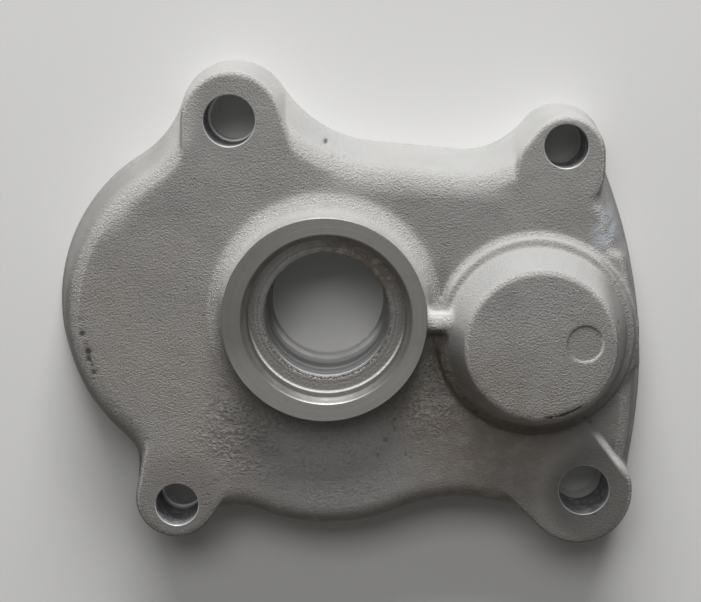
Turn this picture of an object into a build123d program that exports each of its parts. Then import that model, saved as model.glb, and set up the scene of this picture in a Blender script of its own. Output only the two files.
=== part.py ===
from build123d import *
from math import acos, cos, degrees, radians, sin, sqrt, tan
import os

# Cast aluminium housing of a small gear unit, lying on its machined joint face.
# Origin: on the axis of the main bore, in the joint face. +Z points out of the front.
# All lengths are millimetres and all angles are degrees.

# Body: a rounded left end, a belly under the main bore and a slab with a bowed right edge
plate_height = 23.0          # joint face to the flat front
body_draft = 10.0            # lean of the outer wall
body_round = 6.5             # big round between the wall and the flat front
left_reach = 70.8            # bore axis to the left edge at the joint face
lobe_drop = 0.7              # centre of the rounded left end below the bore axis
top_reach = 42.7             # bore axis to the top edge, straight above it
top_slope = 5.3              # fall of the top edge towards the right end
bow_reach = 83.2             # bore axis to the furthest point of the right edge
bow_radius = 136.0           # bow of the right edge
bow_drop = 18.0              # that furthest point below the bore axis
belly_radius = 50.0
belly_drop = 9.2             # lowest point of the belly below the hollow
hollow_reach = 50.9          # bore axis to the hollow right of the belly
hollow_x = 23.5
hollow_slope = 9.5           # fall of the lower edge from there to the right
hollow_share = 1.33          # its round, as a share of the way from it to the lower right ear
rim_step = 0.5               # mould step that runs round the joint face
rim_height = 2.6

# Ears: the head's place in from the body's end and out from its top or lower edge, its
# radius, place and radius of the foot that its flanks run into, from the head, place of
# the hole from the head, with its radius and that of its last part, and the blends with
# the body on the left and on the right
upper_left = {
    "in": 46.8, "out": 5.7, "radius": 14.3,
    "foot": (1.9, -11.5, 16.2), "hole": (-0.4, 0.2, 6.5, 6.05), "blends": (26.0, 32.0),
}
upper_right = {
    "in": 22.8, "out": -2.6, "radius": 11.4,
    "foot": (-1.5, -4.2, 12.9), "hole": (-0.2, 2.1, 5.55, 5.55), "blends": (20.0, 20.0),
}
lower_left = {
    "in": 31.5, "out": -1.8, "radius": 12.0,
    "foot": (4.8, 11.0, 14.4), "hole": (0.3, -1.5, 5.55, 5.1), "blends": (13.0, 12.0),
}
lower_right = {
    "in": 18.0, "out": -3.5, "radius": 15.4,
    "foot": (-11.7, 11.8, 15.4), "hole": (1.2, 0.7, 6.5, 6.5), "blends": (12.0, 20.0),
}
ear_draft = 4.0
ear_round = 1.3              # round on the ears' front edges
hole_step = 5.0              # length of the holes' last part, at the joint face
hole_edge_break = 0.35       # chamfer at each hole's mouth

# Main boss and the bore through it
boss_shift = (-0.5, -0.1)    # the cast boss's axis, from the axis of the bore cut in it
boss_radius = 25.8           # machined ring face, before its edge break
boss_height = 11.5           # ring face above the flat front
boss_flare = 6.0             # hollow round at the boss's foot
flare_brim = 0.2             # flat brim outside each hollow round
boss_edge_break = 0.3
seal_radius = 20.0           # seat of the shaft seal
seal_depth = 7.7             # ring face to the seat's floor
seal_chamfer = 1.5
bore_radius = 15.8
bore_edge_break = 0.4
lip_radius = 14.8            # narrower last part of the bore, at the joint face
lip_length = 4.5
hub_wall = 5.2               # wall of the tube that carries the bore inside

# Blind boss over the second shaft
blind_place = (53.1, -5.9)
blind_height = 16.0          # its face above the flat front
blind_top_radius = 19.0      # before its edge round
blind_edge_round = 1.5
cone_foot_radius = 23.1      # where the cone meets its collar
cone_flare = 1.6
collar_radius = 25.2
collar_height = 2.4
collar_round = 0.7
collar_flare = 1.4
ejector_place = (10.8, 0.8)  # from the blind boss's axis
ejector_radius = 4.5
ejector_depth = 0.35
bearing_radius = 17.5        # seat of the second shaft's bearing, open to the joint face
bearing_wall = 6.0           # metal left over and round the seat
relief_radius = 12.5
relief_depth = 1.5

# Web between the two bosses
web_width = 6.2
web_height = 5.6             # above the flat front
web_round = 2.6
web_offset = -2.0            # from the main bore's axis

# Pad on the right edge
pad_top = 15.0               # its ends, from the main axis
pad_bottom = -14.8
pad_draft = 8.0
pad_round = 3.5

# Hollow behind the front
floor_wall = 5.0             # thickness of the front wall
side_wall = 7.0              # width of the joint face's land, without the mould step
bolt_wall = 4.6              # metal left round each ear hole inside

overrun = 1.0                # how far each cut runs past the face that it opens

ears = [upper_left, upper_right, lower_left, lower_right]
top_run = top_reach + lobe_drop + left_reach * tan(radians(top_slope))
lobe_radius = top_run * cos(radians(top_slope)) / (1 + sin(radians(top_slope)))    # touches the top edge
lobe_x = lobe_radius - left_reach
belly_reach = hollow_reach + belly_drop
seal_floor = plate_height + boss_height - seal_depth


def head_place(ear):
    """Middle of an ear's head."""
    x = bow_reach - ear["in"] if ear in (upper_right, lower_right) else ear["in"] - left_reach
    y = top_reach + ear["out"] if ear in (upper_left, upper_right) else -hollow_reach - ear["out"]
    return Vector(x, y)


def hole_place(ear):
    """Middle of an ear's hole."""
    return head_place(ear) + Vector(ear["hole"][0], ear["hole"][1])


def disc(place, radius):
    return Pos(place.X, place.Y) * Circle(radius)


def slab_outline():
    """Straight top edge, bowed right edge and the straight edge right of the belly."""
    top_fall = tan(radians(top_slope))
    upper_x = head_place(upper_right).X
    upper_y = head_place(upper_right).Y
    lower_x = head_place(lower_right).X
    lower_y = head_place(lower_right).Y
    bow_x = bow_reach - bow_radius
    bow_start = (bow_x + sqrt(bow_radius**2 - (upper_y + bow_drop) ** 2), upper_y)
    bow_end = (bow_x + sqrt(bow_radius**2 - (lower_y + bow_drop) ** 2), lower_y)
    hollow_end = -hollow_reach - (lower_x - hollow_x) * tan(radians(hollow_slope))
    touch_x = lobe_x + lobe_radius * sin(radians(top_slope))
    top_left = (touch_x, top_reach - touch_x * top_fall)
    top_right = (upper_x, top_reach - upper_x * top_fall)
    edges = Line(top_left, top_right)
    edges += Line(top_right, bow_start)
    edges += ThreePointArc(bow_start, (bow_reach, -bow_drop), bow_end)
    edges += Line(bow_end, (lower_x, hollow_end))
    edges += Line((lower_x, hollow_end), (hollow_x, -hollow_reach))
    edges += Line((hollow_x, -hollow_reach), (0, -hollow_reach))
    edges += Line((0, -hollow_reach), (lobe_x, 0))
    edges += Line((lobe_x, 0), top_left)
    return make_face(edges)


def core_outline():
    """Body at the joint face, without its ears."""
    lobe = disc(Vector(lobe_x, -lobe_drop), lobe_radius)
    belly = disc(Vector(0, belly_radius - belly_reach), belly_radius)
    return lobe + belly + slab_outline()


def sharp_corners(outline):
    """The corners where one edge doesn't run smoothly into the next."""
    edges = outline.face().outer_wire().order_edges()
    corners = []
    for edge, following in zip(edges, edges[1:] + edges[:1]):
        if (edge % 1).get_angle(following % 0) > body_draft / 4:
            corners.append(edge @ 1)
    return corners


def blend(outline, near, radius):
    """Round the sharp corner that lies nearest to a place."""
    corner = min(sharp_corners(outline), key=lambda point: (point - Vector(near)).length)
    vertex = outline.vertices().sort_by_distance(corner)[0]
    return fillet(vertex, radius)


def body_outline():
    """Body at the joint face, with the ears' heads blended in."""
    outline = core_outline()
    for ear in ears:
        outline += disc(head_place(ear), ear["radius"])
    for ear in ears:
        inward = Vector(0, ear["radius"] / 2 if ear in (lower_left, lower_right) else -ear["radius"] / 2)
        aside = Vector(ear["radius"], 0)
        outline = blend(outline, head_place(ear) + inward - aside, ear["blends"][0])
        outline = blend(outline, head_place(ear) + inward + aside, ear["blends"][1])
    way = head_place(lower_right).X - lower_right["radius"] - hollow_x
    return blend(outline, (hollow_x, -hollow_reach), hollow_share * way)


def grown(outline, amount):
    """A smooth outline moved outwards by an amount, edge by edge."""
    edges = []
    for edge in outline.face().outer_wire().order_edges():
        points = [edge @ share + (edge % share).rotate(Axis.Z, -90) * amount for share in (0, 0.5, 1)]
        edges.append(ThreePointArc(*points) if edge.geom_type == GeomType.CIRCLE else Line(points[0], points[2]))
    return make_face(edges)


def drafted(outline, height, lean):
    """Solid that stands on an outline, with walls that lean in."""
    top = grown(outline, -height * tan(radians(lean)))
    return loft([outline.face(), Pos(0, 0, height) * top.face()], ruled=True)


def top_edges(solid, height):
    """The edges of the flat face at a height."""
    face = solid.faces().filter_by(Plane.XY).sort_by(lambda f: abs(f.center().Z - height))[0]
    return face.outer_wire().edges()


def body(outline):
    """Drafted wall with the big round, standing on the mould step."""
    wall = drafted(outline, plate_height, body_draft)
    wall = fillet(top_edges(wall, plate_height), body_round)
    rim = drafted(grown(outline, rim_step), rim_height, body_draft)
    return wall + rim


def pad_outline(ear, inset):
    """Head and foot of an ear joined by the two straight flanks that touch both."""
    head = head_place(ear)
    foot = head + Vector(ear["foot"][0], ear["foot"][1])
    head_radius = ear["radius"] - inset
    foot_radius = ear["foot"][2] - inset
    away = (head - foot).normalized()
    swing = degrees(acos((foot_radius - head_radius) / (head - foot).length))
    left = away.rotate(Axis.Z, swing)
    right = away.rotate(Axis.Z, -swing)
    flank_left = Line(foot + left * foot_radius, head + left * head_radius)
    flank_right = Line(head + right * head_radius, foot + right * foot_radius)
    tip = ThreePointArc(flank_left @ 1, head + away * head_radius, flank_right @ 0)
    heel = ThreePointArc(flank_right @ 1, foot - away * foot_radius, flank_left @ 0)
    return make_face(flank_left + tip + flank_right + heel)


def ear_pad(ear):
    """Raised pad of one ear, from inside the mould step to the front."""
    start = rim_height / 2
    rise = plate_height - start
    base = pad_outline(ear, 0)
    front = pad_outline(ear, rise * tan(radians(ear_draft)))
    pad = loft([Pos(0, 0, start) * base.face(), Pos(0, 0, plate_height) * front.face()], ruled=True)
    return fillet(top_edges(pad, plate_height), ear_round)


def turned(points, rounds):
    """Solid of revolution about Z from half its outline, with rounds at its corners."""
    half = FilletPolyline(*points, radius=rounds, close=True)
    return revolve(Plane.XZ * make_face(half), Axis.Z)


def main_boss():
    """Boss round the main bore, with its hollow foot."""
    top = plate_height + boss_height
    outer = boss_radius + boss_flare + flare_brim
    points = [(0, plate_height - overrun), (outer, plate_height - overrun), (outer, plate_height)]
    points += [(boss_radius, plate_height), (boss_radius, top), (0, top)]
    boss = turned(points, [0, 0, 0, boss_flare, 0, 0])
    boss = chamfer(top_edges(boss, top), boss_edge_break)
    return Pos(boss_shift[0], boss_shift[1]) * boss


def blind_boss():
    """Closed cone over the second shaft, on its low collar."""
    top = plate_height + blind_height
    shelf = plate_height + collar_height
    outer = collar_radius + collar_flare + flare_brim
    points = [(0, plate_height - overrun), (outer, plate_height - overrun), (outer, plate_height)]
    points += [(collar_radius, plate_height), (collar_radius, shelf), (cone_foot_radius, shelf)]
    points += [(blind_top_radius, top), (0, top)]
    rounds = [0, 0, 0, collar_flare, collar_round, cone_flare, blind_edge_round, 0]
    cone = turned(points, rounds)
    mark = Pos(ejector_place[0], ejector_place[1], top - ejector_depth)
    cone -= mark * extrude(Circle(ejector_radius), ejector_depth + overrun)
    return Pos(blind_place[0], blind_place[1]) * cone


def web():
    """Short bar that ties the two bosses together."""
    length = blind_place[0]
    block = extrude(Rectangle(length, web_width), plate_height + web_height - rim_height)
    long_edges = block.edges().filter_by(Axis.X).group_by(Axis.Z)[-1]
    bar = fillet(long_edges, web_round)
    return Pos(length / 2, web_offset, rim_height) * bar


def edge_pad(outline):
    """Steeper pad on the right edge, with a small round to the front."""
    start = rim_height / 2
    rise = plate_height - start
    steep = drafted(outline, rise, pad_draft)
    steep = fillet(top_edges(steep, rise), pad_round)
    depth = bow_reach - blind_place[0]
    keep = Box(depth * 2, pad_top - pad_bottom, plate_height * 2)
    return Pos(0, 0, start) * (steep & Pos(bow_reach, (pad_top + pad_bottom) / 2, 0) * keep)


def cavity(outline):
    """Hollow behind the front, without the tubes and bolt columns that stand in it."""
    outline = grown(outline, -side_wall)
    for ear in ears:
        outline -= disc(hole_place(ear), ear["hole"][2] + bolt_wall)
    depth = plate_height - floor_wall
    room = Pos(0, 0, -overrun) * extrude(outline, depth + overrun)
    hub = bored(bore_radius + hub_wall, -overrun * 2, depth + overrun)
    seat = bored(bearing_radius + bearing_wall, -overrun * 2, depth + overrun)
    return room - hub - Pos(blind_place[0], blind_place[1]) * seat


def bored(radius, bottom, top):
    """Round cutter from one height to another."""
    return Pos(0, 0, bottom) * extrude(Circle(radius), top - bottom)


def main_bore():
    """Seal seat, bore and lip, with their edge breaks."""
    top = plate_height + boss_height
    cutter = bored(lip_radius, -overrun, lip_length + overrun)
    cutter += bored(bore_radius, lip_length, seal_floor + overrun)
    cutter += bored(seal_radius, seal_floor, top + overrun)
    mouth = Pos(0, 0, top - seal_chamfer / 2)
    cutter += mouth * Cone(seal_radius, seal_radius + seal_chamfer, seal_chamfer)
    edge = Pos(0, 0, seal_floor - bore_edge_break / 2)
    return cutter + edge * Cone(bore_radius, bore_radius + bore_edge_break, bore_edge_break)


def bearing_pocket():
    """Seat of the second shaft's bearing and the relief for the shaft's end."""
    floor = plate_height + blind_height - bearing_wall - relief_depth
    cutter = bored(bearing_radius, -overrun, floor)
    cutter += bored(relief_radius, -overrun, floor + relief_depth)
    return Pos(blind_place[0], blind_place[1]) * cutter


def bolt_hole(ear):
    """Ear hole with its narrower last part and the edge break at its mouth."""
    radius, last_radius = ear["hole"][2:]
    cutter = bored(last_radius, -overrun, hole_step + overrun)
    cutter += bored(radius, hole_step, plate_height + overrun)
    mouth = Pos(0, 0, plate_height - hole_edge_break / 2)
    cutter += mouth * Cone(radius, radius + hole_edge_break, hole_edge_break)
    return Pos(hole_place(ear).X, hole_place(ear).Y) * cutter


def housing():
    outline = body_outline()
    solid = body(outline)
    for ear in ears:
        solid += ear_pad(ear)
    solid += edge_pad(outline)
    for piece in (main_boss(), blind_boss(), web()):
        solid += piece
    solid -= cavity(outline)
    solid -= main_bore()
    solid -= bearing_pocket()
    for ear in ears:
        solid -= bolt_hole(ear)
    return solid


os.makedirs("parts", exist_ok=True)
export_step(housing(), "parts/housing.step")
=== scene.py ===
import bmesh
import bpy
import numpy as np
from math import cos, pi, radians, sin, sqrt
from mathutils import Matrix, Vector, noise
from mathutils.bvhtree import BVHTree


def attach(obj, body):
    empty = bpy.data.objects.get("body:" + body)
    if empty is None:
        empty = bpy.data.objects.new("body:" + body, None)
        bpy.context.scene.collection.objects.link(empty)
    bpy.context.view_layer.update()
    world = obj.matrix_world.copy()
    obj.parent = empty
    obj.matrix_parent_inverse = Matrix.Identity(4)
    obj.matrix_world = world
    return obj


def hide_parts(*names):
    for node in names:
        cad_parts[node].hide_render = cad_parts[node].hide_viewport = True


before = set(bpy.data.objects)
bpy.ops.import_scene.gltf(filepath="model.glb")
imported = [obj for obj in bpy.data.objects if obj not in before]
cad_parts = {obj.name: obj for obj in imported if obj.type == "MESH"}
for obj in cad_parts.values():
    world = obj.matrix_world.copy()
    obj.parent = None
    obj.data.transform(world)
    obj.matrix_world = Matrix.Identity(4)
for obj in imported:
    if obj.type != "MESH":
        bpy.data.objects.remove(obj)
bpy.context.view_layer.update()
print("frame loaded")

# Lengths in the dictionaries are millimetres, but for those of the studio, which are metres.
# The meshes are worked in millimetres too and brought to metres when they are done.
perMetre = 1000.0
axis = (0.0, 0.0)  # the main bore's


class Wire:
    # A node's output with arithmetic on it
    def __init__(self, net, socket):
        self.net = net
        self.socket = socket

    def join(self, kind, first, second):
        types = [w.socket.type for w in (first, second) if isinstance(w, Wire)]
        if "RGBA" in types:
            settings = {"data_type": "RGBA", "blend_type": kind}
            return self.net.node("ShaderNodeMix", settings, out=2, i0=1.0, i6=first, i7=second)
        name = "ShaderNodeVectorMath" if "VECTOR" in types else "ShaderNodeMath"
        return self.net.node(name, {"operation": kind}, i0=first, i1=second)

    def __add__(self, other):
        return self.join("ADD", self, other)

    def __radd__(self, other):
        return self.join("ADD", other, self)

    def __sub__(self, other):
        return self.join("SUBTRACT", self, other)

    def __rsub__(self, other):
        return self.join("SUBTRACT", other, self)

    def __mul__(self, other):
        return self.join("MULTIPLY", self, other)

    def __rmul__(self, other):
        return self.join("MULTIPLY", other, self)

    def math(self, kind, other=0.0):
        return self.net.node("ShaderNodeMath", {"operation": kind}, i0=self, i1=other)

    # 0 below one value, 1 above the other, smooth between
    def ramp(self, low, high):
        settings = {"interpolation_type": "SMOOTHSTEP"}
        ends = {"i1": low, "i2": high, "i3": 0.0, "i4": 1.0}
        return self.net.node("ShaderNodeMapRange", settings, i0=self, **ends)

    # 1 below one value, 0 above the other
    def fall(self, low, high):
        return 1.0 - self.ramp(low, high)

    # 1 at a value, and fading out on both sides of it
    def near(self, value, full, gone):
        return (self - value).math("ABSOLUTE").fall(full, gone)


class Net:
    # A material and its nodes
    def __init__(self, name):
        self.material = bpy.data.materials.new(name)
        self.material.use_nodes = True
        self.tree = self.material.node_tree
        self.tree.nodes.clear()

    # Sockets are given by number, such as i0, or by name
    def node(self, kind, settings=None, out=0, **sockets):
        made = self.tree.nodes.new(kind)
        for key, value in (settings or {}).items():
            setattr(made, key, value)
        for key, value in sockets.items():
            number = key[1:].isdigit()
            target = made.inputs[int(key[1:]) if number else key.replace("_", " ")]
            if isinstance(value, Wire):
                self.tree.links.new(value.socket, target)
            elif target.type in ("RGBA", "VECTOR"):
                value = (value,) * 3 if isinstance(value, (int, float)) else tuple(value)
                target.default_value = (*value, 1.0) if target.type == "RGBA" else value
            else:
                target.default_value = value
        return Wire(self, made.outputs[out]) if made.outputs else None

    # Place on the object in millimetres
    def place(self):
        return self.node("ShaderNodeTexCoord", out=3) * perMetre

    def parts(self, vector):
        split = self.node("ShaderNodeSeparateXYZ", i0=vector)
        return [Wire(self, socket) for socket in split.socket.node.outputs]

    def noise(self, place, scale, detail, rough, warp=0.0):
        names = {"Scale": scale, "Detail": detail, "Roughness": rough, "Distortion": warp}
        return self.node("ShaderNodeTexNoise", {"noise_dimensions": "3D"}, Vector=place, **names)

    def cells(self, place, scale):
        return self.node("ShaderNodeTexVoronoi", {"feature": "F1"}, Vector=place, Scale=scale)

    def mix(self, share, first, second):
        settings = {"data_type": "RGBA"}
        return self.node("ShaderNodeMix", settings, out=2, i0=share, i6=first, i7=second)

    # Distance from an upright axis
    def away(self, place, centre):
        offset = (place - (*centre, 0.0)) * (1.0, 1.0, 0.0)
        return self.node("ShaderNodeVectorMath", {"operation": "LENGTH"}, out=1, i0=offset)

    # 1 within one radius of an upright axis, 0 outside the other
    def patch(self, place, centre, full, gone):
        return self.away(place, centre).fall(full, gone)

    def finish(self, height=None, depth=0.0, **sockets):
        if height is not None:
            names = {"Height": height, "Distance": depth / perMetre, "Strength": 1.0}
            sockets["Normal"] = self.node("ShaderNodeBump", **names)
        shader = self.node("ShaderNodeBsdfPrincipled", **sockets)
        self.node("ShaderNodeOutputMaterial", i0=shader)
        return self.material


skin = {
    "tone": (0.24, 0.235, 0.224),
    "paleTone": (0.295, 0.29, 0.278),
    "warmTone": (0.285, 0.262, 0.24),
    "wallTone": (0.46, 0.462, 0.46),
    "blueTone": (0.44, 0.475, 0.53),
    "darkTone": (0.16, 0.152, 0.138),
    "shadeTone": (0.10, 0.095, 0.088),
    "flankTone": (0.95, 0.94, 0.92),
    "grimeAndShade": (0.075, 0.055, 0.036),
    "shadowTone": (0.17, 0.128, 0.086),
    "pitTone": (0.035, 0.03, 0.025),
    "rimTone": (0.66, 0.65, 0.63),
    "metal": 0.10,
    "rough": 0.46,
    "relief": 0.50,
    # noises: scale, detail, roughness
    "grain": (2.0, 3.0, 0.6),
    "fine": (3.4, 2.0, 0.6),
    "clouds": (0.07, 3.0, 0.55),
    "blotch": (0.28, 3.0, 0.6),
    "lumps": (1.05, 2.0, 0.55),
    "poreField": (0.11, 2.0, 0.5),
    "warmField": (0.05, 2.0, 0.5),
    "ruggedField": (0.2, 3.0, 0.6),
    "tear": (0.7, 2.0, 0.6),
    "poreScale": 0.75,
    # patches seen from the front: centre, radius of the full patch, radius where it ends
    "ground": ((24.0, -20.0), 6.0, 18.0),
    "lowerGround": ((-20.0, -31.0), 6.0, 19.0),
    "belly": ((4.0, -41.0), 5.0, 20.0),
    "brownShadow": ((40.0, -30.0), 6.0, 30.0),
    "paintedLightPatch": ((3.0, -38.0), 9.0, 26.0),
    "rightEar": ((71.0, -48.0), 11.0, 17.0),
    "leftEar": ((-39.0, -50.6), 8.0, 16.0),
    "bluePatch": ((71.0, 13.0), 0.5, 6.0),
    "webTop": ((27.6, 0.2), 2.0, 5.5),
    # the smooth patch round each ear hole, its two radii only
    "earFace": (9.0, 17.0),
    # bands: where, half width that is full, half width where it ends
    "underRing": (28.0, 1.0, 7.0),
    "besideWeb": (28.4, 0.8, 4.0),
    "flankLine": (36.3, 0.2, 1.3),
    "groove": (23.9, 0.3, 1.1),
    "collar": (24.6, 0.6, 2.6),
    "crackRing": (19.0, 0.08, 0.42),
    "pinRim": (4.5, 0.12, 0.5),
    # centre of the pin's rim, and the direction across the flank's band
    "pinMark": (63.8, -5.3),
    "flankNormal": (0.799, 0.601),
    # how much of each coat is laid on
    "share": {
        "warm": 0.8, "hollow": 0.34, "pore": 0.25, "lumpHighlight": 0.3, "paintedLight": 0.38, "dentShade": 0.6,
        "paintedRoundLight": 0.42, "mostShade": 0.8, "rightWall": 0.65, "leftWall": 0.55,
        "rightEar": 0.78, "leftEar": 0.5, "besideWeb": 0.5, "flank": 0.9, "strip": 0.5,
        "blue": 0.9, "web": 0.8, "crack": 0.9, "paintedShadow": 0.5, "underRing": 0.35, "pit": 0.9,
        "rimLit": 0.6, "rimDark": 0.45,
    },
}


def castSkin():
    net = Net("castSkin")
    s, share = skin, skin["share"]
    p = net.place()
    x, y, z = net.parts(p)[:3]
    # parts of the normal: towards the right, the upper side and the front
    sideways, facing, upright = net.parts(net.node("ShaderNodeNewGeometry", out=1))[:3]
    names = ("grain", "fine", "clouds", "blotch", "lumps")
    grain, fine, clouds, blotch, lumps = [net.noise(p, *s[name]) for name in names]
    under = facing.fall(-0.75, -0.05)
    steep = upright.fall(0.45, 0.92)
    front = 1.0 - steep

    # small open pores of the cast surface, more of them in some patches
    pores = net.cells(p, s["poreScale"]).fall(0.08, 0.26)
    pores = pores * net.noise(p, *s["poreField"]).ramp(0.50, 0.72)
    # warmer towards the lower left
    warmth = (y + x * 0.35).fall(-30.0, 25.0) * 0.6
    warmth = warmth + net.noise(p, *s["warmField"]).ramp(0.4, 0.65) * 0.4
    # rough, coarser ground between and under the two bosses
    rugged = net.patch(p, *s["ground"]) + net.patch(p, *s["lowerGround"])
    rugged = rugged + net.patch(p, *s["belly"]) * 0.6
    rugged = rugged * net.noise(p, *s["ruggedField"]).ramp(0.36, 0.58) * front
    rough = rugged.math("MINIMUM", 1.0)
    # painted shadow, brown, under the blind boss and just below the ring
    paintedShadow = net.patch(p, *s["brownShadow"]) * blotch.ramp(0.32, 0.6)
    underRing = net.away(p, axis).near(*s["underRing"]) * y.fall(-18.0, 0.0)
    paintedShadow = paintedShadow + underRing * front * share["underRing"]

    tone = net.mix(clouds.ramp(0.3, 0.7), s["tone"], s["paleTone"])
    tone = net.mix(warmth * share["warm"], tone, s["warmTone"])
    hollows = share["hollow"] - grain.ramp(0.32, 0.46) * share["hollow"]
    tone = net.mix(hollows, tone, s["darkTone"])
    tone = net.mix(pores * share["pore"], tone, s["darkTone"])
    # painted highlights on the tops of the lumps in the rough ground
    tone = net.mix(rough * lumps.ramp(0.5, 0.66) * share["lumpHighlight"], tone, s["rimTone"])
    # painted light on a patch below the ring, lifting the ring's shadow
    paintedLight = net.patch(p, *s["paintedLightPatch"]) * front
    tone = net.mix(paintedLight * share["paintedLight"], tone, s["wallTone"])
    # painted shade in the dents between the lumps
    tone = net.mix(rough * lumps.fall(0.34, 0.46) * share["dentShade"], tone, s["darkTone"])
    # painted light on the side walls, most of all on those towards the upper side
    tone = net.mix(steep * (0.12 + facing.ramp(0.0, 0.7) * 0.42), tone, s["wallTone"])

    # painted highlight where the skin turns towards the upper side, and on the front just before
    # it does
    paintedRoundLight = facing.ramp(0.04, 0.3) * (1.0 - facing.ramp(0.45, 0.85) * 0.85)
    brow = (y + x * 0.06).ramp(29.5, 33.5) * x.ramp(-4.0, 8.0) * x.fall(40.0, 48.0)
    arc = net.away(p, (-4.0, 0.0)).ramp(50.0, 55.0) * y.ramp(16.0, 26.0) * x.fall(-38.0, -30.0)
    paintedRoundLight = paintedRoundLight + (brow + arc) * front * (1.0 - paintedRoundLight)
    tone = net.mix(paintedRoundLight * share["paintedRoundLight"], tone, s["rimTone"])

    # painted shade on both end walls, on the lower ears, and on the floor on both sides of the web
    paintedShade = sideways.ramp(0.2, 0.75) * x.ramp(66.0, 72.0) * share["rightWall"]
    paintedShade = paintedShade + sideways.fall(-0.8, -0.25) * x.fall(-50.0, -34.0) * share["leftWall"]
    for ear in ("rightEar", "leftEar"):
        paintedShade = paintedShade + net.patch(p, *s[ear]) * share[ear]
    beside = x.near(*s["besideWeb"]) * y.ramp(-26.0, -20.0) * y.fall(8.0, 18.0)
    paintedShade = paintedShade + beside * z.fall(25.5, 27.0) * share["besideWeb"]
    tone = net.mix(paintedShade.math("MINIMUM", share["mostShade"]), tone, s["shadeTone"])

    # a painted highlight along the right ear's flank
    across = x * s["flankNormal"][0] + y * s["flankNormal"][1]
    flank = across.near(*s["flankLine"]) * z.ramp(14.0, 17.0) * x.ramp(66.0, 68.0)
    flank = flank * y.ramp(-45.5, -38.0) * y.fall(-34.0, -30.5)
    tone = net.mix(flank * share["flank"], tone, s["flankTone"])
    # a rough pale strip where the front begins to round off
    strip = upright.ramp(0.62, 0.8) * upright.fall(0.94, 0.985)
    tone = net.mix(strip * fine.ramp(0.4, 0.6) * share["strip"], tone, s["rimTone"])
    # smooth bluish skin at the right edge
    blue = net.patch(p * (1.0, 0.6, 0.0), *s["bluePatch"]) * blotch.ramp(0.3, 0.66)
    tone = net.mix(blue * share["blue"], tone, s["blueTone"])

    # painted shade in the groove at the foot of the blind boss's cone, and brown painted shade on
    # the collar's lower left, away from the light
    blindX, blindY = housing["blindPlace"]
    ring = net.away(p, housing["blindPlace"])
    groove = ring.near(*s["groove"]) * z.ramp(23.5, 24.5)
    tone = net.mix(groove * (0.25 + blotch * 0.5), tone, s["darkTone"])
    collar = ring.near(*s["collar"]) * (x - blindX + (y - blindY) * 1.6).fall(-36.0, -14.0)
    tone = net.mix(collar * (0.5 + blotch * 0.6), tone, s["grimeAndShade"])
    # painted highlight on top of the web between the two bosses
    webHighlight = net.patch(p, *s["webTop"]) * z.ramp(25.5, 28.0)
    tone = net.mix(webHighlight * share["web"], tone, s["rimTone"])
    # ragged crack along the lower edge of the blind boss's face
    crack = (ring + net.noise(p, *s["tear"]) * 1.6).near(*s["crackRing"])
    crack = crack * x.ramp(54.0, 55.5) * x.fall(62.5, 64.0) * y.fall(-18.0, -16.0)
    crack = crack * z.ramp(34.0, 36.0) * fine.ramp(0.35, 0.5)
    tone = net.mix(crack * share["crack"], tone, s["pitTone"])

    # painted shadow, brown, and painted shade on what faces down, less of it on the cone
    tone = net.mix(paintedShadow * share["paintedShadow"], tone, s["shadowTone"])
    cone = ring.fall(23.4, 24.4) * z.ramp(24.0, 26.0)
    tone = net.mix(under * (0.55 + blotch * 0.4) * (1.0 - cone * 0.6), tone, s["grimeAndShade"])
    # dark pits, and the rim of the mark that the mould's ejector pin left, lit on one side
    pit = net.node("ShaderNodeAttribute", {"attribute_name": "pit"}, out=2)
    tone = net.mix(pit.ramp(0.02, 0.3) * share["pit"], tone, s["pitTone"])
    pinX, pinY = s["pinMark"]
    rim = net.away(p, s["pinMark"]).near(*s["pinRim"]) * z.ramp(36.0, 37.0)
    lit = (x - pinX - (y - pinY)).ramp(-2.0, 4.0)
    tone = net.mix(rim * lit * share["rimLit"], tone, s["rimTone"])
    tone = net.mix(rim * (1.0 - lit) * share["rimDark"], tone, s["darkTone"])

    # the ears' faces are smoother
    calm = 0.0
    for hole in housing["holes"]:
        calm = net.patch(p, hole[:2], *s["earFace"]) + calm
    height = (grain + fine * 0.55) * (1.0 + strip * 0.5 - steep * 0.3 - blue * 0.6 - calm * 0.45)
    height = height - pores * 0.5 + rugged * lumps * 1.9 - crack * 1.2
    dull = s["rough"] + blotch * 0.12 + fine * 0.08 + rugged * 0.06
    names = {"Base_Color": tone, "Metallic": s["metal"], "Roughness": dull}
    return net.finish(height=height, depth=s["relief"], **names)


turned = {
    "tone": (0.33, 0.325, 0.314),
    "dull": (0.20, 0.195, 0.186),
    "wallTone": (0.09, 0.083, 0.072),
    "brightTone": (0.85, 0.84, 0.82),
    "grimeAndShade": (0.10, 0.078, 0.055),
    "metal": 0.95,
    "rough": 0.34,
    "relief": 0.06,
    # noises: scale, detail, roughness
    "rings": (4.0, 4.0, 0.7),
    "broad": (0.7, 2.0, 0.5),
    "stain": (0.22, 4.0, 0.6),
    "speck": (1.6, 3.0, 0.6),
    "dirtField": (0.5, 3.0, 0.6),
    "chips": (1.1, 3.0, 0.7),
    "beads": (2.6, 1.0, 0.5),
    # brown dirt on the seat's floor: centre, radius of the full patch, radius where it ends
    "dirt": ((9.0, 13.0), 3.0, 22.0),
    # the burr round the bore's front edge: radius, half width full, half width where it ends
    "burr": (16.85, 0.08, 0.4),
    "ringStretch": 3.0,
    # how much of each coat is laid on
    "share": {
        "stain": 0.4, "side": 0.45, "speck": 0.35, "dirt": 0.75, "edge": 0.8, "burr": 0.9,
        "beads": 0.5,
    },
}


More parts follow.
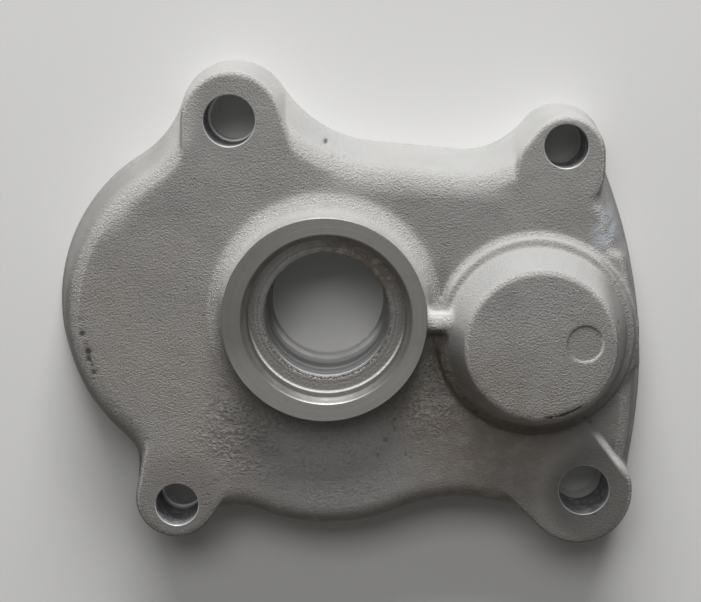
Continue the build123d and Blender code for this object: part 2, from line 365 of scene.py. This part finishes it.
def turnedFace():
    net = Net("turnedFace")
    t, share = turned, turned["share"]
    p = net.place()
    x, y, z = net.parts(p)[:3]
    radius = net.away(p, axis)
    # the tool's rings: noise that only changes across them
    line = net.node("ShaderNodeCombineXYZ", i0=radius, i1=z * t["ringStretch"], i2=0.0)
    rings, broad = net.noise(line, *t["rings"]), net.noise(line, *t["broad"])
    stain, speck, chips = [net.noise(p, *t[name]) for name in ("stain", "speck", "chips")]
    # the seat's floor is granular and holds brown dirt on its upper right
    floor = z.fall(27.0, 28.0) * z.ramp(25.9, 26.4)
    wall = z.ramp(27.0, 27.2) * z.fall(34.15, 34.3)
    dirt = net.patch(p, *t["dirt"]) * net.noise(p, *t["dirtField"]).ramp(0.3, 0.6) * floor
    # a burr with bright beads along the bore's front edge, most of it on the lower side
    lower = y.fall(-10.0, 4.0)
    burr = (radius + chips * 0.9).near(*t["burr"])
    beads = net.noise(p, *t["beads"]).ramp(0.5, 0.6) * burr * floor
    burr = burr * chips.ramp(0.36, 0.5) * floor * (lower * 0.8 + 0.2)
    # a painted highlight along the outer edge of the seat's floor, on its lower side only
    edge = radius.ramp(19.4, 19.65) * floor * y.fall(-13.0, -1.0)

    tone = net.mix(rings.ramp(0.3, 0.7), t["dull"], t["tone"])
    tone = net.mix(stain.ramp(0.45, 0.75) * share["stain"], tone, t["dull"])
    # painted shade: the ring's face is darker above and on its left
    side = (1.0 - x.ramp(-25.0, 2.0) * 0.5) * y.ramp(-16.0, -4.0) * z.ramp(34.0, 34.4)
    tone = net.mix(side * share["side"], tone, t["wallTone"])
    tone = net.mix(floor * speck.ramp(0.35, 0.6) * share["speck"], tone, t["dull"])
    tone = net.mix(dirt * share["dirt"], tone, t["grimeAndShade"])
    # the seat's wall is darker where it is stained, and painted shade darkens its upper side
    shaded = 0.1 + y.ramp(-8.0, 15.0) * 0.4 + stain * 0.6
    tone = net.mix(wall * shaded, tone, t["wallTone"])
    tone = net.mix(edge * share["edge"], tone, t["brightTone"])
    tone = net.mix(burr * share["burr"], tone, t["grimeAndShade"])
    tone = net.mix(beads * lower * share["beads"], tone, t["brightTone"])
    rough = t["rough"] + stain * 0.14 + broad * 0.10 + floor * 0.12 + wall * 0.15
    names = {"Base_Color": tone, "Metallic": t["metal"], "Roughness": rough}
    height = rings + floor * speck * 3.5 - burr * 4.0
    return net.finish(height=height, depth=t["relief"], **names)


bored = {
    "tone": (0.84, 0.838, 0.83),
    "dull": (0.46, 0.462, 0.465),
    "band": (0.15, 0.157, 0.178),
    "glint": (0.80, 0.79, 0.77),
    "white": (0.95, 0.945, 0.93),
    "dark": (0.12, 0.118, 0.115),
    "patch": (0.60, 0.62, 0.68),
    "brown": (0.10, 0.078, 0.052),
    "metal": 0.2,
    "rough": 0.36,
    "relief": 0.02,
    # noises: scale, detail, roughness, and distortion where there is any
    "marks": (3.0, 4.0, 0.65),
    "stain": (0.35, 4.0, 0.6, 0.6),
    "spot": (0.3, 3.0, 0.6),
    "mottle": (0.6, 3.0, 0.6),
    "alongMarks": 0.03,
    # grooves in the main bore: height, half width full, half width where it ends
    "wideGroove": (17.0, 0.3, 1.6),
    "fineGroove": (22.0, 0.1, 0.4),
    # how much of each coat is laid on
    "share": {
        "inner": 0.82, "mottle": 0.42, "spot": 0.65, "far": 0.95, "grooves": 0.55,
        "upperShade": 0.8,
    },
}


def boredWall():
    net = Net("boredWall")
    b, share = bored, bored["share"]
    p = net.place()
    x, y, z = net.parts(p)[:3]
    # feed marks that run round the bore
    along = b["alongMarks"]
    line = net.node("ShaderNodeCombineXYZ", i0=x * along, i1=y * along, i2=z)
    marks = net.noise(line, *b["marks"])
    stain, spot, mottle = [net.noise(p, *b[name]) for name in ("stain", "spot", "mottle")]
    # the main bore: darker in its middle, with two faint grooves and painted light at its far end
    main = net.patch(p, axis, 16.4, 16.8)
    middle = z.ramp(8.5, 12.0) * z.fall(24.4, 25.2) * main
    grooves = z.near(*b["wideGroove"]) + z.near(*b["fineGroove"])
    inSeat = net.patch(p, housing["blindPlace"], 17.8, 18.2)
    # the ear holes: painted shade darkens their walls, which have bluish patches and brown spots;
    # painted light makes their far ends pale, and the mouth is pale
    inHole = 1.0 - main - inSeat
    far = z.fall(6.4, 7.8) * inHole
    inner = inHole - far
    mouth = z.ramp(22.3, 22.7) * inHole

    tone = net.mix(marks.ramp(0.35, 0.65) * (1.0 - inHole * 0.5), b["dull"], b["tone"])
    # painted shade inside the ear holes
    tone = net.mix(inner * share["inner"], tone, b["dark"])
    tone = net.mix(mottle.ramp(0.42, 0.6) * inner * share["mottle"], tone, b["patch"])
    # painted light makes the main bore's wall pale, and it stays pale at the far end
    tone = net.mix(main * (0.4 + mottle * 0.6), tone, b["glint"])
    tone = net.mix(middle * (0.6 + marks * 0.5), tone, b["band"])
    stained = stain.ramp(0.5, 0.66) * (0.4 - inSeat * 0.25 - main * 0.35)
    tone = net.mix(stained, tone, b["dark"])
    tone = net.mix(spot.ramp(0.54, 0.66) * inner * share["spot"], tone, b["brown"])
    # painted light at the ear holes' far ends
    tone = net.mix(far * share["far"], tone, b["white"])
    tone = net.mix(mouth, tone, b["dull"])
    tone = net.mix(grooves * main * share["grooves"], tone, b["tone"])
    # painted shade on the upper side of the main bore, so that only its lower side is bright
    tone = net.mix(y.ramp(-11.5, -4.0) * main * share["upperShade"], tone, b["dark"])
    rough = b["rough"] + stain * 0.2 + marks * 0.08 - middle * 0.12
    names = {"Base_Color": tone, "Metallic": b["metal"], "Roughness": rough}
    return net.finish(height=marks, depth=b["relief"], **names)


housing = {
    # machined sizes, as in the CAD
    "front": 23.0,
    "ringFace": 34.5,
    "ringPlace": (-0.5, -0.1),
    "ringRadius": 25.8,
    "seat": 20.0,
    "seatFloor": 26.8,
    "bore": 15.8,
    "lip": 14.8,
    "lipEnd": 4.5,
    "blindPlace": (53.1, -5.9),
    "bearing": 17.5,
    "bearingEnd": 31.5,
    "relief": 12.5,
    "reliefEnd": 33.0,
    "ejector": (63.9, -5.1),
    "ejectorRadius": 4.5,
    "ejectorFloor": 38.42,
    # the ears' holes: place, radius, radius of the last part at the joint face
    "holes": [
        (-24.4, 48.6, 6.5, 6.05), (60.2, 42.2, 5.55, 5.55),
        (-39.0, -50.6, 5.55, 5.1), (66.4, -46.7, 6.5, 6.5),
    ],
    "holeStep": 5.0,
    # the raw casting: vertices under foot go down to its lowest level, machined faces stand
    # proud, and plugs reach past the holes that they fill
    "foot": 0.01,
    "proud": 1.5,
    "corePast": 2.0,
    "seatPast": 2.4,
    "bearingPast": 0.8,
    "holePast": 1.0,
    "stockFoot": 31.0,
    "weld": 0.0005,
    "voxel": 0.71,
    # the mesh of the hollow back: highest place, how far its test starts off the skin
    "hollowTop": 18.6,
    "probe": 0.35,
    "most": 178000,
    # the outside is smoothed, and the upper end of the edge pad more so
    "smooth": 0.5,
    "easeSteps": 2,
    "padSteps": 40,
    "padEnd": (76.5, 15.0, 17.0),
    "padReach": 8.0,
    "padFoot": 4.0,
    # small cuts at the machined edges
    "rimInset": 0.3,
    "rimDrop": 1.2,
    "rimReach": 3.0,
    "mouthCut": 0.32,
    "mouthReach": 2.4,
    "boreEdge": 0.4,
    "seatEdge": 1.5,
    "seatReach": 5.0,
    "past": 4.0,
    "ejectorTop": 41.0,
    "slab": (120.0, 8.0),
    "sharpAngle": 38.0,
    # steps round the turned shapes
    "steps": {"plug": 64, "pin": 72, "hole": 96, "seat": 160, "ring": 240},
    # how far a finish reaches past the sizes above, and how level a face has to be for it
    "flat": 0.02,
    "close": 0.05,
    "level": 0.9,
    "seatRim": 1.6,
    "rimInside": 0.4,
    "rimOutside": 1.0,
    "rimDeep": 0.31,
    "mouthOut": 0.6,
    "mouthDeep": 0.7,
    "mouthLevel": 0.85,
}


# Solid turned about an upright axis, from its outline (radius, height) on one side
def lathe(name, outline, place, kind="seat"):
    mesh = bmesh.new()
    steps = housing["steps"][kind]
    turns = [2 * pi * i / steps for i in range(steps)]
    rings = []
    for radius, height in outline:
        around = turns if radius else turns[:1]
        spots = [(place[0] + radius * cos(a), place[1] + radius * sin(a), height) for a in around]
        rings.append([mesh.verts.new(spot) for spot in spots])
    for low, high in zip(rings, rings[1:]):
        for i in range(steps):
            j = (i + 1) % steps
            corners = (low, i), (low, j), (high, j), (high, i)
            face = [ring[k % len(ring)] for ring, k in corners]
            mesh.faces.new(list(dict.fromkeys(face)))
    bmesh.ops.recalc_face_normals(mesh, faces=mesh.faces)
    return asData(name, mesh)


def block(name, low, high):
    mesh = bmesh.new()
    bmesh.ops.create_cube(mesh, size=1.0)
    middle = (Vector(low) + Vector(high)) / 2
    span = Vector(high) - Vector(low)
    for vertex in mesh.verts:
        vertex.co = Vector(v * s for v, s in zip(vertex.co, span)) + middle
    return asData(name, mesh)


def joined(name, meshes):
    mesh = bmesh.new()
    for data in meshes:
        mesh.from_mesh(data)
    return asData(name, mesh)


def asData(name, mesh):
    data = bpy.data.meshes.new(name)
    mesh.to_mesh(data)
    mesh.free()
    return data


def thing(name, data):
    made = bpy.data.objects.new(name, data)
    bpy.context.scene.collection.objects.link(made)
    return made


# Apply the modifiers of an object to its mesh
def baked(made):
    bpy.context.view_layer.update()
    graph = bpy.context.evaluated_depsgraph_get()
    data = bpy.data.meshes.new_from_object(made.evaluated_get(graph), depsgraph=graph)
    made.modifiers.clear()
    made.data = data
    return made


def cutBy(made, cutter):
    tool = thing("cutter", cutter)
    change = made.modifiers.new("cut", "BOOLEAN")
    change.operation = "DIFFERENCE"
    change.solver = "MANIFOLD"
    change.object = tool
    baked(made)
    bpy.data.objects.remove(tool)


def triangles(mesh):
    return sum(len(p.vertices) - 2 for p in mesh.polygons)


# The raw casting: the CAD mesh with every machined opening filled and the machined faces
# standing proud, as it comes out of the mould
def rawCasting():
    h = housing
    bottom, top, front = -h["proud"], h["ringFace"] + h["proud"], h["front"]
    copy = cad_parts["housing"].data.copy()
    for vertex in copy.vertices:
        vertex.co *= perMetre
        if vertex.co.z < h["foot"]:
            vertex.co.z = bottom
    weld = bmesh.new()
    weld.from_mesh(copy)
    bmesh.ops.remove_doubles(weld, verts=weld.verts, dist=h["weld"])
    weld.to_mesh(copy)
    weld.free()
    wide, wider, step = h["bore"] + h["corePast"], h["seat"] + h["seatPast"], front - h["corePast"]
    core = [(0, bottom), (wide, bottom), (wide, step), (wider, step), (wider, top), (0, top)]
    foot, ring = h["stockFoot"], h["ringRadius"]
    stock = [(0, foot), (ring, foot), (ring, top), (0, top)]
    past = h["bearingPast"]
    wide, narrow = h["bearing"] + past, h["relief"] + past
    step, end = h["bearingEnd"] + past, h["reliefEnd"] + past
    fill = [(0, bottom), (wide, bottom), (wide, step), (narrow, step), (narrow, end), (0, end)]
    plugs = [lathe("core", core, axis), lathe("stock", stock, h["ringPlace"])]
    plugs.append(lathe("fill", fill, h["blindPlace"]))
    for x, y, radius, last in h["holes"]:
        wide = radius + h["holePast"]
        fill = [(0, bottom), (wide, bottom), (wide, front), (0, front)]
        plugs.append(lathe("fill", fill, (x, y), "plug"))
    casting = thing("castHousing", joined("casting", [copy] + plugs))
    mould = casting.modifiers.new("mould", "REMESH")
    mould.mode = "VOXEL"
    mould.voxel_size = h["voxel"]
    return baked(casting)


# Vertices of the hollow back: nothing lies below them
def hollowSide(mesh):
    corners = [v.co for v in mesh.vertices]
    tree = BVHTree.FromPolygons(corners, [p.vertices for p in mesh.polygons])
    down = Vector((0, 0, -1))
    found = []
    for vertex in mesh.vertices:
        start = vertex.co + vertex.normal * housing["probe"]
        if vertex.co.z < housing["hollowTop"] and tree.ray_cast(start, down)[0] is None:
            found.append(vertex.index)
    return found


# Soften the outside, and thin out the mesh of the hollow back
def easeAndThin(casting):
    h = housing
    inner = hollowSide(casting.data)
    group = casting.vertex_groups.new(name="hollow")
    group.add(inner, 1.0, "REPLACE")
    total = triangles(casting.data)
    print("casting triangles", total, "hollow vertices", len(inner))
    ease = casting.modifiers.new("ease", "SMOOTH")
    ease.factor = h["smooth"]
    ease.iterations = h["easeSteps"]
    ease.vertex_group = "hollow"
    ease.invert_vertex_group = True
    # the upper end of the edge pad runs out softly
    fade = casting.vertex_groups.new(name="fade")
    for vertex in casting.data.vertices:
        away = (vertex.co - Vector(h["padEnd"])).length / h["padReach"]
        if away < 1 and vertex.co.z > h["padFoot"]:
            fade.add([vertex.index], 1 - away * away, "REPLACE")
    run = casting.modifiers.new("run", "SMOOTH")
    run.factor = h["smooth"]
    run.iterations = h["padSteps"]
    run.vertex_group = "fade"
    thin = casting.modifiers.new("thin", "DECIMATE")
    thin.ratio = min(1.0, h["most"] / total)
    thin.vertex_group = "hollow"
    baked(casting)
    casting.vertex_groups.clear()


wear = {
    # unevenness of the skin: size, depth
    "swells": [(12.0, 0.12), (3.6, 0.07), (1.5, 0.05)],
    # single pits: place, radius, depth
    "pits": [
        (-62.9, -2.0, 0.7, 0.25), (-62.4, -5.6, 1.1, 0.4), (-61.6, -8.3, 0.7, 0.3),
        (-61.0, -10.2, 1.2, 0.5), (-60.9, -12.2, 1.0, 0.45), (-60.1, -13.6, 0.8, 0.35),
        (-59.6, -15.6, 0.9, 0.4), (-59.9, -17.4, 0.6, 0.25), (-0.4, 42.7, 0.8, 0.4),
        (38.0, -25.6, 0.8, 0.45), (72.5, -0.7, 0.6, 0.3), (36.7, -23.4, 0.7, 0.3),
        (54.6, -24.0, 0.7, 0.35), (55.6, -23.7, 0.6, 0.4), (57.4, -23.5, 0.7, 0.4),
        (58.8, -23.1, 0.8, 0.5), (59.8, -22.7, 0.8, 0.5), (61.2, -22.2, 0.8, 0.45),
        (62.3, -21.7, 0.7, 0.4), (63.2, -21.1, 0.6, 0.35), (66.0, -27.1, 0.8, 0.4),
        (67.5, -28.6, 0.7, 0.35), (14.9, -33.4, 0.9, 0.3), (17.5, -30.5, 0.7, 0.3),
        (13.0, -37.5, 0.8, 0.3), (-11.3, 17.8, 0.5, 0.15), (-32.3, 18.3, 0.5, 0.15),
        (27.4, -15.5, 0.6, 0.25), (21.5, -38.0, 0.6, 0.25), (30.6, -19.5, 0.5, 0.25),
        (29.1, -10.3, 0.6, 0.3), (29.9, -12.9, 0.7, 0.3), (30.4, -15.3, 0.6, 0.3),
        (28.7, -17.3, 0.5, 0.25), (17.4, -28.1, 0.7, 0.3), (16.4, -29.7, 0.6, 0.25),
        (18.7, -27.3, 0.6, 0.25), (20.1, -37.4, 0.6, 0.3), (34.9, -22.1, 0.8, 0.35),
    ],
    "pitShape": 0.8,
    "pitsAbove": 8.0,
}


# How deep each place lies in the pits, 0 outside them
def pitDepth(spots):
    depth = np.zeros(len(spots))
    for x, y, radius, deep in wear["pits"]:
        away = np.hypot(spots[:, 0] - x, spots[:, 1] - y)
        inside = np.clip(1 - away / radius, 0, 1)
        depth = np.maximum(depth, deep * inside ** wear["pitShape"])
    return depth * (spots[:, 2] > wear["pitsAbove"])


# Uneven surface of the casting. Everything moves inwards, so the casting keeps its box.
def weather(mesh):
    count = len(mesh.vertices)
    spots = np.empty(count * 3)
    mesh.vertices.foreach_get("co", spots)
    spots = spots.reshape(-1, 3)
    normals = np.empty(count * 3)
    mesh.vertex_normals.foreach_get("vector", normals)
    normals = normals.reshape(-1, 3)
    depth = np.zeros(count)
    for size, deep in wear["swells"]:
        scale = 1 / size
        level = np.array([noise.noise(Vector(s) * scale) for s in spots])
        depth += deep * (0.5 + 0.5 * level)
    depth += pitDepth(spots) * (normals[:, 2] > 0)
    spots -= normals * depth[:, None]
    mesh.vertices.foreach_set("co", spots.ravel())
    mesh.update()


# Everything that a tool cuts: ring face, blind bore, holes, then the stepped main bore and
# the joint face
def machine(casting):
    h = housing
    face, front, low = h["ringFace"], h["front"], -h["past"]
    top, ring, drop = face + h["past"], h["ringRadius"] - h["rimInset"], face - h["rimDrop"]
    reach = ring + h["rimReach"]
    facing = [(0, face), (ring, face), (ring + h["rimDrop"], drop)]
    facing += [(reach, drop), (reach, top), (0, top)]
    bearing, step, relief, end = h["bearing"], h["bearingEnd"], h["relief"], h["reliefEnd"]
    pocket = [(0, low), (bearing, low), (bearing, step), (relief, step), (relief, end), (0, end)]
    floor, radius, top = h["ejectorFloor"], h["ejectorRadius"], h["ejectorTop"]
    pin = [(0, floor), (radius, floor), (radius, top), (0, top)]
    cutters = [lathe("facing", facing, h["ringPlace"], "ring")]
    cutters.append(lathe("pocket", pocket, h["blindPlace"]))
    cutters.append(lathe("pin", pin, h["ejector"], "pin"))
    cut, reach, step = front - h["mouthCut"], h["mouthReach"], h["holeStep"]
    for x, y, radius, last in h["holes"]:
        drill = [(0, low), (last, low), (last, step), (radius, step), (radius, cut)]
        drill += [(radius + reach, cut + reach), (0, cut + reach)]
        cutters.append(lathe("drill", drill, (x, y), "hole"))
    cutBy(casting, joined("first", cutters))
    floor, edge, lip, seat = h["seatFloor"], h["boreEdge"], h["lip"], h["seat"]
    cut, reach = face - h["seatEdge"], h["seatReach"]
    bore = [(0, low), (lip, low), (lip, h["lipEnd"]), (h["bore"], h["lipEnd"])]
    bore += [(h["bore"], floor - edge), (h["bore"] + edge, floor), (seat, floor), (seat, cut)]
    bore += [(seat + reach, cut + reach), (0, cut + reach)]
    cutBy(casting, lathe("bore", bore, axis, "ring"))
    side, depth = h["slab"]
    cutBy(casting, block("joint", (-side, -side, -depth), (side, side, 0)))


def awayFrom(place, x, y):
    return sqrt((x - place[0]) ** 2 + (y - place[1]) ** 2)


# Which of the three finishes a polygon has: 0 cast, 1 turned, 2 bored
def finishOf(centre, normal):
    h = housing
    x, y, z = centre
    flat, close = h["flat"], h["close"]
    reach = awayFrom(axis, x, y)
    if z < flat or (abs(z - h["ringFace"]) < flat and normal.z > h["level"]):
        return 1
    if reach < h["seat"] + h["seatRim"] and z > h["seatFloor"] - h["boreEdge"] - close:
        return 1
    if reach < h["bore"] + close:
        return 2
    ring = awayFrom(h["ringPlace"], x, y) - h["ringRadius"]
    if -h["rimInside"] < ring < h["rimOutside"] and z > h["ringFace"] - h["rimDeep"]:
        return 1
    if awayFrom(h["blindPlace"], x, y) < h["bearing"] + close and z < h["reliefEnd"] + close:
        return 2
    onMouth = normal.z < h["mouthLevel"] and z > h["front"] - h["mouthDeep"]
    for hole in h["holes"]:
        away, radius = awayFrom(hole, x, y), hole[2]
        if away < radius + close or (away < radius + h["mouthOut"] and onMouth):
            return 2
    return 0


def finishHousing():
    casting = rawCasting()
    print("casting remeshed")
    easeAndThin(casting)
    weather(casting.data)
    machine(casting)
    mesh = casting.data
    print("machined", triangles(mesh))
    mesh.materials.clear()
    for material in (castSkin(), turnedFace(), boredWall()):
        mesh.materials.append(material)
    for polygon in mesh.polygons:
        polygon.material_index = finishOf(polygon.center, polygon.normal)
        polygon.use_smooth = True
    mesh.set_sharp_from_angle(angle=radians(housing["sharpAngle"]))
    spots = np.array([v.co for v in mesh.vertices])
    outside = np.array([v.vector.z for v in mesh.vertex_normals]) > 0
    stored = mesh.attributes.new("pit", "FLOAT", "POINT")
    stored.data.foreach_set("value", pitDepth(spots) * outside)
    mesh.vertices.foreach_set("co", (spots / perMetre).ravel())
    mesh.update()
    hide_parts("housing")
    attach(casting, "root")


finishHousing()
print("housing done")


studio = {
    "floorTone": (0.78, 0.775, 0.765),
    "fleckTone": (0.70, 0.70, 0.70),
    "fleck": (0.6, 3.0, 0.5),
    "fleckShare": 0.06,
    "floorRough": 0.9,
    "floorSize": 6.0,
    "floorDrop": 0.00005,
    # where the floor runs out into the backdrop, in millimetres
    "floorEnd": (250.0, 850.0),
    "backTone": (0.50, 0.498, 0.49),
    "domeTone": (1.0, 0.99, 0.975),
    "domeLevel": 0.085,
    # light boxes: name, place, size, watts
    "boxes": [
        ("keyBox", (0.0, 1.8, 0.60), (1.1, 1.05), 51.5),
        ("topBox", (-0.08, 0.55, 0.96), (0.6, 0.4), 3.0),
    ],
    "aim": (0.0, 0.0, 0.02),
    "cameraPlace": (0.00601, 0.07838, 0.4743),
    "cameraTilt": -9.4934,
    "lens": 92.44,
    "sensor": 36.0,
}


def floorSheet():
    net = Net("floorPaper")
    p = net.place()
    fleck = net.noise(p, *studio["fleck"])
    flecks = fleck.ramp(0.3, 0.7) * studio["fleckShare"]
    tone = net.mix(flecks, studio["floorTone"], studio["fleckTone"])
    share = net.patch(p, axis, *studio["floorEnd"])
    material = net.finish(Base_Color=tone, Roughness=studio["floorRough"], Alpha=share)
    mesh = bmesh.new()
    bmesh.ops.create_grid(mesh, x_segments=2, y_segments=2, size=studio["floorSize"])
    sheet = thing("floorSheet", asData("floorSheet", mesh))
    sheet.data.materials.append(material)
    sheet.location.z = -studio["floorDrop"]


def softbox(name, place, size, watts):
    data = bpy.data.lights.new(name, "AREA")
    data.shape = "RECTANGLE"
    data.size, data.size_y = size
    data.energy = watts
    lamp = thing(name, data)
    lamp.location = place
    towards = Vector(studio["aim"]) - Vector(place)
    lamp.rotation_euler = towards.to_track_quat("-Z", "Y").to_euler()


# A grey dome lights the object. The camera, reflections and glass see a pale backdrop there.
def dome():
    world = bpy.data.worlds.new("dome")
    world.use_nodes = True
    tree = world.node_tree
    tree.nodes.clear()
    path = tree.nodes.new("ShaderNodeLightPath")
    lit = tree.nodes.new("ShaderNodeBackground")
    lit.inputs[0].default_value = (*studio["domeTone"], 1.0)
    lit.inputs[1].default_value = studio["domeLevel"]
    seen = tree.nodes.new("ShaderNodeBackground")
    seen.inputs[0].default_value = (*studio["backTone"], 1.0)
    either = tree.nodes.new("ShaderNodeMixShader")
    output = tree.nodes.new("ShaderNodeOutputWorld")
    share = path.outputs["Is Camera Ray"]
    for ray in ("Is Glossy Ray", "Is Transmission Ray"):
        most = tree.nodes.new("ShaderNodeMath")
        most.operation = "MAXIMUM"
        tree.links.new(share, most.inputs[0])
        tree.links.new(path.outputs[ray], most.inputs[1])
        share = most.outputs[0]
    tree.links.new(share, either.inputs[0])
    tree.links.new(lit.outputs[0], either.inputs[1])
    tree.links.new(seen.outputs[0], either.inputs[2])
    tree.links.new(either.outputs[0], output.inputs[0])
    bpy.context.scene.world = world


def photoCamera():
    data = bpy.data.cameras.new("photoCamera")
    data.sensor_width = studio["sensor"]
    data.lens = studio["lens"]
    camera = thing("photoCamera", data)
    camera.location = studio["cameraPlace"]
    camera.rotation_euler = (radians(studio["cameraTilt"]), 0, 0)
    bpy.context.scene.camera = camera


floorSheet()
for box in studio["boxes"]:
    softbox(*box)
dome()
photoCamera()
bpy.context.scene.view_settings.view_transform = "Standard"
print("studio done")
